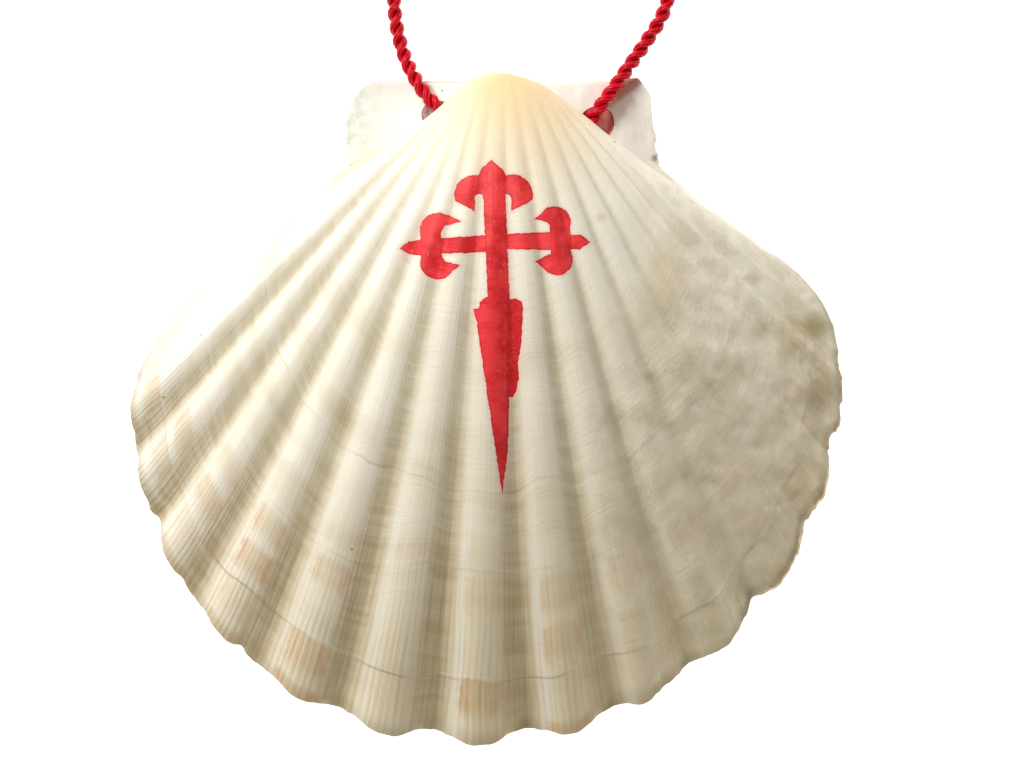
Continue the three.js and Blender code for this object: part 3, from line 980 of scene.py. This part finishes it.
def crossField(nodes, place):
    # millimetres from the paint's edge, less than 0 in the paint, and the place from the crossing
    x, y = cross["crossing"]
    inputs = {"Vector": place, "Scale": (1 / mm, 1 / mm, 1 / mm), "Location": (-x, -y, 0)}
    centred = nodes.add("ShaderNodeMapping", inputs)
    flat = nodes.vector("MULTIPLY", centred, (1.0, 1.0, 0.0))
    inputs = {"Vector": centred, "Scale": 1.1, "Detail": 4.0, "Roughness": 0.7}
    wobble = nodes.add("ShaderNodeTexNoise", inputs, "Color")
    wobble = nodes.vector("SUBTRACT", wobble, (0.5, 0.5, 0.5))
    wobble = nodes.vector("MULTIPLY", wobble, (cross["ragged"], cross["ragged"], 0.0))
    flat = nodes.vector("ADD", flat, wobble)
    fields = [polygonField(nodes, flat, points) for points in cross["polygons"]]
    fields += [discField(nodes, flat, middle, radius) for middle, radius in cross["discs"]]
    for middle, radius, bite, biteRadius in cross["petals"]:
        petal = discField(nodes, flat, middle, radius)
        bitten = nodes.scaled(discField(nodes, flat, bite, biteRadius), -1.0, 0.0)
        fields.append(nodes.math("MAXIMUM", petal, bitten))
    for middle, radius, start, end, slot, slotRadius in cross["upperPetals"]:
        petal = discField(nodes, flat, middle, radius)
        petal = nodes.math("MAXIMUM", petal, sideField(nodes, flat, start, end, middle))
        above = nodes.vector("MAXIMUM", flat, (-100.0, slot[1], 0.0))
        slotField = nodes.math("SUBTRACT", slotRadius, nodes.apart(nodes.separate(flat)[0], slot[0]))
        slotTop = nodes.math("SUBTRACT", slotRadius, nodes.vector("DISTANCE", above, (*slot, 0.0)))
        fields.append(nodes.math("MAXIMUM", petal, nodes.math("MINIMUM", slotField, slotTop)))
    field = fields[0]
    for other in fields[1:]:
        field = nodes.math("MINIMUM", field, other)
    return field, flat


def painted(nodes, place, colour):
    # the cross laid over this colour
    field, fromCrossing = crossField(nodes, place)
    x, y, _ = nodes.separate(fromCrossing)
    coarse = nodes.noise(place, 260.0, 4.0, 0.6)
    fine = nodes.noise(place, 1100.0, 3.0, 0.7)
    paint = nodes.mix(nodes.span(coarse, 0.4, 0.66), cross["colour"], cross["deepColour"])
    low, high = cross["strip"]
    strip = nodes.times(nodes.span(x, low, low + 0.4), nodes.span(x, high + 3, high))
    strip = nodes.times(strip, nodes.span(y, *cross["stripFrom"]), nodes.span(fine, 0.3, 0.6, 0.3, 0.9))
    paint = nodes.mix(strip, paint, cross["stripColour"])
    paint = nodes.mix(nodes.span(field, -0.4, -0.05, 0.0, 0.6), paint, cross["rimColour"])
    paint = nodes.mix(nodes.span(fine, 0.64, 0.74, 0.0, 0.6), paint, cross["speckColour"])
    colour = nodes.mix(nodes.span(field, 0.7, 0.0, 0.0, 0.55), colour, cross["haloColour"])
    cover = nodes.times(nodes.span(field, 0.05, -0.07), nodes.span(fine, 0.22, 0.28))
    return nodes.mix(cover, colour, paint)


# Finish of the shell's outside

finish = {
    "base": (246, 239, 220),
    "cloud": (251, 247, 235),
    "warmSide": (230, 214, 178),        # towards the bottom
    "mottleDark": (202, 190, 158),
    "mottleLight": (240, 234, 218),
    "leftEar": (249, 247, 239),
    "leftEarDirt": (214, 218, 196),
    "rightEar": (248, 241, 234),
    # painted shade along the edge, where the lip turns under
    "rim": (150, 140, 116),
    "beak": (253, 217, 150),
    "band": (214, 200, 166),
    # painted shade for the furrows
    "furrowShade": (196, 178, 136),
    "threadGap": (186, 164, 122),
    "streak": (156, 120, 68),
    # painted highlight for the ribs' lit shoulders
    "shoulderHighlight": (252, 249, 238),
    "patch": (216, 184, 134),
    "patchSide": (214, 158, 112),
    # painted shadow under each growth step, and a painted highlight on its edge
    "haltShadow": (120, 102, 70),
    "haltHighlight": (252, 246, 230),
    # painted shade along the right ear's crease
    "creaseShade": (190, 134, 110),
    "creaseLine": ((21.1, 54.0), (27.2, 58.7)),
    "joinDirt": (220, 210, 158),
    "pit": (84, 70, 40),
    "inside": (246, 241, 230),
    "insideCloud": (252, 249, 242),
    "scar": (226, 214, 196),
    "scarMiddle": (12, 4),
    "scarRadius": (19.5, 18.5),
    # the right wall's red-brown is painted shade and a painted reflection of the cord
    "holeWalls": [("leftHoleWall", (255, 246, 240)), ("rightHoleWall", (226, 136, 122))],
    "patchRow": 0.065,                  # of the reach from one row of patches to the next
    # halts of growth: reach, strength of their painted shadow line, and how much of it is left where worn
    "halts": [(0.922, 0.44, 0.6), (0.78, 0.15, 0.0), (0.655, 0.22, 0.15)],
    "threadsPerRib": 13,
    "pitSteepness": 0.35,               # on a steep place a pit is this much of its height on the level
    "pits": [                           # millimetres on the table
        (17.1, 50.4), (16.0, 49.0), (22.6, 47.2), (33.8, 38.3), (-38.8, 29.1),
        (-50.7, 13.1), (-57.5, 2.0), (-23.7, -24.7), (-8.0, 56.6),
    ],
    # stains: place and size in millimetres, strength and colour
    "stains": [
        ((58.4, 14.4), 3.4, 0.75, (158, 142, 72)),
        ((59.4, 2.8), 4.6, 0.6, (146, 124, 74)),
        ((47.2, 22.9), 1.8, 0.4, (186, 164, 108)),
        ((48.0, 14.0), 2.2, 0.35, (176, 158, 104)),
        ((32.0, 23.7), 5.0, 0.35, (222, 194, 146)),
        ((28.5, 5.6), 1.2, 0.4, (168, 152, 98)),
        ((20.1, 33.5), 1.3, 0.45, (206, 186, 116)),
        ((29.9, 44.6), 0.8, 0.75, (104, 90, 58)),
    ],
}


def growthTones(nodes, colour, phase, reach, x, y, onDisc):
    # painted shade in the furrows, brown streaks, painted highlights on the shoulders and rows of tan patches
    wave = nodes.math("COSINE", nodes.times(phase, 2 * math.pi))
    shaded = nodes.math("COSINE", nodes.scaled(phase, 2 * math.pi, 0.44))
    lit = nodes.math("COSINE", nodes.scaled(phase, 2 * math.pi, 1.7))
    lower = nodes.span(y, 0.035, -0.03)
    worn = nodes.span(x, 0.004, 0.04)
    keep = nodes.scaled(worn, -0.75, 1.0)
    fineBands = nodes.span(nodes.grain(reach, 70.0, phase, 0.6), 0.3, 0.7, 0.5, 0.95)
    threads = nodes.grain(phase, 30.0, reach, 4.0)
    # painted shade in each furrow, shifted to the rib's shaded side
    furrowShade = nodes.span(shaded, 0.1, -0.95)
    darkening = nodes.times(furrowShade, nodes.span(reach, 0.12, 0.5, 0.25, 1.0), fineBands)
    darkening = nodes.times(darkening, nodes.scaled(lower, 0.4, 0.5), keep, onDisc)
    colour = nodes.mix(darkening, colour, finish["furrowShade"])
    streak = nodes.times(nodes.span(threads, 0.45, 0.7, 0.0, 0.36), furrowShade, nodes.span(reach, 0.66, 0.84))
    colour = nodes.mix(nodes.times(streak, keep, onDisc), colour, finish["streak"])
    # painted highlight on each rib's lit left shoulder, low on the shell
    shoulderHighlight = nodes.times(nodes.span(lit, 0.8, 1.0, 0.0, 0.4), lower, nodes.span(reach, 0.45, 0.7), keep)
    shoulderHighlight = nodes.times(shoulderHighlight, nodes.span(x, -0.045, -0.01))
    colour = nodes.mix(shoulderHighlight, colour, finish["shoulderHighlight"])
    rough = nodes.grain(phase, 7.0, reach, 60.0, 3.0, 0.65)
    firstRow = finish["halts"][0][0] - 20 * finish["patchRow"]
    rowAt = nodes.math("DIVIDE", nodes.math("SUBTRACT", reach, firstRow), finish["patchRow"])
    rowAt = nodes.scaled(rough, 0.25, rowAt)
    row = nodes.math("FLOOR", rowAt)
    within = nodes.math("SUBTRACT", rowAt, row)
    ribNumber = nodes.math("FLOOR", nodes.math("ADD", phase, 0.5))
    chance = nodes.add("ShaderNodeTexWhiteNoise", {"Vector": nodes.combine(ribNumber, row)}, "Value")
    wobbling = nodes.scaled(rough, 1.2, wave)
    patch = nodes.times(nodes.span(within, 0.0, 0.2), nodes.span(within, 0.95, 0.6), onDisc)
    patch = nodes.times(patch, nodes.span(wobbling, 0.35, 1.0), nodes.span(chance, 0.25, 0.7))
    patch = nodes.times(patch, nodes.span(reach, 0.68, 0.93))
    patch = nodes.times(patch, nodes.scaled(worn, -0.5, 1.0), nodes.span(x, -0.06, -0.035, 0.55, 1.0))
    colour = nodes.mix(nodes.times(patch, nodes.span(threads, 0.3, 0.6, 0.35, 0.7)), colour, finish["patch"])
    side = nodes.times(patch, nodes.span(wobbling, 1.45, 0.9), nodes.span(threads, 0.35, 0.6, 0.15, 0.6))
    return nodes.mix(side, colour, finish["patchSide"])


def haltTones(nodes, colour, phase, reach, y, worn, onDisc):
    # each halt of growth gets a thin broken painted shadow with a painted highlight beside it
    broken = nodes.grain(phase, 1.3, reach, 9.0, 3.0, 0.6)
    lower = nodes.span(y, -0.008, -0.026)
    for at, share, kept in finish["halts"]:
        keep = nodes.scaled(worn, nodes.scaled(lower, kept, -1.0), 1.0)
        near = nodes.span(nodes.apart(reach, at + 0.001), 0.0024, 0.0006)
        line = nodes.times(near, nodes.span(broken, 0.34, 0.64, 0.0, share), onDisc, keep)
        colour = nodes.mix(line, colour, finish["haltShadow"])
        near = nodes.span(nodes.apart(reach, at - 0.005), 0.003, 0.001)
        line = nodes.times(near, nodes.span(broken, 0.5, 0.36, 0.0, 0.6 * share), onDisc, keep)
        colour = nodes.mix(line, colour, finish["haltHighlight"])
    return colour


def heightAt(grown, x, y):
    # height of the outside over a place on the table
    away = np.hypot(grown[:, 0] - x, grown[:, 1] - y)
    return float(grown[away < away.min() + 0.3 * mm, 2].max())


def placedTones(nodes, colour, place, phase, reach, cloud, grown):
    # painted shade along the right ear's crease, the dirt of the ears, stains and pits
    flat = nodes.vector("MULTIPLY", place, (1.0, 1.0, 0.0))
    x = nodes.separate(place)[0]
    start, end = (Vector(point) * mm for point in finish["creaseLine"])
    across = nodes.math("ABSOLUTE", sideField(nodes, flat, start, end, (0.0, 0.0)))
    # painted shade along the crease line
    creaseShade = nodes.times(nodes.span(across, 1.4 * mm, 0.4 * mm, 0.0, 0.8), nodes.span(x, 0.0195, 0.0225))
    colour = nodes.mix(nodes.times(creaseShade, nodes.span(phase, 7.5, 8.0)), colour, finish["creaseShade"])
    join = nodes.span(nodes.apart(phase, -7.42), 0.2, 0.03)
    join = nodes.times(join, nodes.span(reach, 0.35, 0.7), nodes.span(cloud, 0.35, 0.6, 0.15, 0.6))
    colour = nodes.mix(join, colour, finish["joinDirt"])
    for (stainX, stainY), size, strength, stainColour in finish["stains"]:
        away = nodes.vector("DISTANCE", flat, (stainX * mm, stainY * mm, 0.0))
        away = nodes.scaled(cloud, size * mm, away)
        stain = nodes.span(away, 1.75 * size * mm, 0.55 * size * mm, 0.0, strength)
        colour = nodes.mix(stain, colour, stainColour)
    steepness = finish["pitSteepness"]
    lowered = nodes.vector("MULTIPLY", place, (1.0, 1.0, steepness))
    pitted = None
    for pitX, pitY in np.array(finish["pits"]) * mm:
        pit = (pitX, pitY, steepness * heightAt(grown, pitX, pitY))
        away = nodes.vector("DISTANCE", lowered, pit)
        pitted = away if pitted is None else nodes.math("MINIMUM", pitted, away)
    pitted = nodes.scaled(nodes.noise(place, 2500.0), 0.25 * mm, pitted)
    return nodes.mix(nodes.span(pitted, 0.42 * mm, 0.2 * mm, 0.0, 0.8), colour, finish["pit"])


def earTones(nodes, colour, place, phase, x, ear):
    left = nodes.times(ear, nodes.span(phase, 1.0, 0.0))
    right = nodes.times(ear, nodes.span(phase, 0.0, 1.0))
    colour = nodes.mix(nodes.times(left, 0.85), colour, finish["leftEar"])
    colour = nodes.mix(nodes.times(right, 0.8), colour, finish["rightEar"])
    spots = nodes.span(nodes.noise(place, 600.0, 4.0, 0.65), 0.42, 0.62, 0.0, 0.55)
    darkening = nodes.times(ear, nodes.span(x, -0.0165, -0.0235), spots)
    return nodes.mix(darkening, colour, finish["leftEarDirt"])


def outsideMaterial(grown):
    nodes = Nodes("wornShellOutside")
    growth = nodes.add("ShaderNodeUVMap", uv_map="growth")
    place = nodes.objectPlace()
    phase, reach, _ = nodes.separate(growth)
    x, y, _ = nodes.separate(place)
    fromMiddle = nodes.apart(phase, 0.5)
    ear = nodes.span(fromMiddle, 7.95, 8.1)
    onDisc = nodes.span(fromMiddle, 7.0, 6.7)
    cloud = nodes.noise(place, 45.0, 4.0, 0.6)
    colour = nodes.mix(nodes.span(cloud, 0.3, 0.7, 0.0, 0.5), finish["base"], finish["cloud"])
    warm = nodes.span(nodes.scaled(x, 0.45, nodes.times(y, -1.0)), -0.02, 0.07, 0.0, 0.85)
    colour = nodes.mix(warm, colour, finish["warmSide"])
    # mottling, where the right side is worn
    worn = nodes.times(nodes.span(x, 0.0, 0.035), nodes.span(reach, 0.35, 0.6))
    mottle = nodes.noise(place, 120.0, 4.0, 0.55)
    blotch = nodes.noise(place, 320.0, 4.0, 0.6)
    large, small = nodes.span(mottle, 0.48, 0.66, 0.0, 0.42), nodes.span(blotch, 0.5, 0.7, 0.0, 0.25)
    colour = nodes.mix(nodes.times(worn, nodes.math("ADD", large, small)), colour, finish["mottleDark"])
    large, small = nodes.span(mottle, 0.46, 0.3, 0.0, 0.5), nodes.span(blotch, 0.46, 0.3, 0.0, 0.25)
    colour = nodes.mix(nodes.times(worn, nodes.math("ADD", large, small)), colour, finish["mottleLight"])
    bands = nodes.span(nodes.grain(reach, 17.0, phase, 0.35), 0.45, 0.72, 0.0, 0.4)
    colour = nodes.mix(nodes.times(bands, nodes.span(reach, 0.3, 0.6)), colour, finish["band"])
    colour = earTones(nodes, colour, place, phase, x, ear)
    # painted shade along the edge, where the lip curves under
    rim = nodes.times(nodes.span(reach, 0.978, 1.0, 0.0, 0.4), nodes.math("SUBTRACT", 1.0, ear))
    colour = nodes.mix(rim, colour, finish["rim"])
    colour = growthTones(nodes, colour, phase, reach, x, y, onDisc)
    # threads along the ribs near the edge, darker between them
    drift = nodes.grain(phase, 2.3, reach, 5.0, 2.0)
    turns = nodes.scaled(phase, finish["threadsPerRib"], nodes.times(drift, 2.5))
    thread = nodes.math("COSINE", nodes.times(turns, 2 * math.pi))
    uneven = nodes.span(nodes.grain(phase, 13.0, reach, 8.0, 2.0), 0.3, 0.6, 0.2, 1.0)
    sound = nodes.times(nodes.span(x, 0.035, 0.0), nodes.span(reach, 0.72, 0.95), uneven, onDisc)
    gap = nodes.times(sound, nodes.span(thread, 0.2, -1.0, 0.0, 0.3))
    colour = nodes.mix(gap, colour, finish["threadGap"])
    colour = haltTones(nodes, colour, phase, reach, y, worn, onDisc)
    beak = nodes.times(nodes.span(reach, 0.36, 0.03), nodes.span(x, -0.012, 0.005, 0.45, 1.0))
    colour = nodes.mix(beak, colour, finish["beak"])
    colour = placedTones(nodes, colour, place, phase, reach, cloud, grown)
    colour = painted(nodes, place, colour)
    # fine relief: growth lines, threads along the ribs, worn lumps and a chalky grain
    lines = nodes.grain(reach, 230.0, phase, 1.5, 2.0)
    fineThreads = nodes.grain(phase, 30.0, reach, 6.0, 2.0)
    height = nodes.scaled(lines, 0.5, nodes.times(fineThreads, 0.6))
    height = nodes.scaled(thread, nodes.times(sound, 0.18), height)
    height = nodes.scaled(nodes.noise(place, 1500.0, 3.0, 0.6), 0.2, height)
    height = nodes.math("ADD", height, nodes.times(mottle, worn, 2.0))
    height = nodes.math("ADD", height, nodes.times(blotch, worn, 1.4))
    nodes.set(Base_Color=colour, Normal=nodes.bump(height, 0.6, 0.25))
    nodes.set(Roughness=nodes.span(cloud, 0.3, 0.7, 0.42, 0.55), Specular_IOR_Level=0.4)
    return nodes.material


def holeMaterial(name, colour):
    # sawn shell, rough and mottled; the right wall's red-brown is painted shade and a painted reflection of
    # the cord
    nodes = Nodes(name)
    deep = tuple(round(part * 0.72) for part in colour)
    stained = nodes.span(nodes.noise(nodes.objectPlace(), 700.0, 3.0), 0.35, 0.65)
    nodes.set(Base_Color=nodes.mix(stained, colour, deep), Roughness=0.75)
    return nodes.material


def insideMaterial():
    # smooth porcelain white, duller and warmer on the round scar of the muscle
    nodes = Nodes("shellInside")
    place = nodes.objectPlace()
    cloud = nodes.noise(place, 60.0, 4.0)
    flat = nodes.vector("MULTIPLY", place, (1.0, 1.0, 0.0))
    x, y = finish["scarMiddle"]
    away = nodes.scaled(cloud, 3 * mm, nodes.vector("DISTANCE", flat, (x * mm, y * mm, 0.0)))
    outer, inner = finish["scarRadius"]
    scar = nodes.span(away, outer * mm, inner * mm)
    colour = nodes.mix(nodes.span(cloud, 0.3, 0.7), finish["inside"], finish["insideCloud"])
    colour = nodes.mix(nodes.times(scar, 0.6), colour, finish["scar"])
    nodes.set(Base_Color=colour, Normal=nodes.bump(scar, 0.5, 0.15), Roughness=0.28)
    return nodes.material


holeWalls = [holeMaterial(name, colour) for name, colour in finish["holeWalls"]]
shellPiece = makeShell(insideMaterial(), holeWalls)
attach(shellPiece, "root")
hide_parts("shell")
print("shell grown, faces:", len(shellPiece.data.polygons))


# Table, light and sky

def layFloor():
    deselectAll()
    bpy.ops.mesh.primitive_plane_add(size=studio["floorSize"], location=(0, 0, -0.02 * mm))
    floor = bpy.context.active_object
    floor.name = "table"
    nodes = Nodes("whitePaper")
    nodes.set(Base_Color=tint(studio["tableColour"]), Roughness=0.9)
    nodes.set(Emission_Color=(1.0, 1.0, 1.0, 1.0), Emission_Strength=studio["tableGlow"])
    floor.data.materials.append(nodes.material)


def hangLamp(name, place, size, power):
    light = bpy.data.lights.new(name, "AREA")
    light.shape = "DISK"
    light.size = size
    light.energy = power
    lamp = bpy.data.objects.new(name, light)
    bpy.context.collection.objects.link(lamp)
    lamp.location = place
    lamp.rotation_euler = (-Vector(place)).to_track_quat("-Z", "Y").to_euler()


def lightStudio():
    hangLamp("keyLamp", studio["keyPlace"], studio["keySize"], studio["keyPower"])
    world = bpy.data.worlds.new("studioSky")
    bpy.context.scene.world = world
    world.use_nodes = True
    sky = world.node_tree.nodes["Background"]
    sky.inputs["Color"].default_value = (*studio["skyColour"], 1.0)
    sky.inputs["Strength"].default_value = studio["skyStrength"]
    bpy.context.scene.view_settings.view_transform = "Standard"


layFloor()
lightStudio()
print("table and light ready")
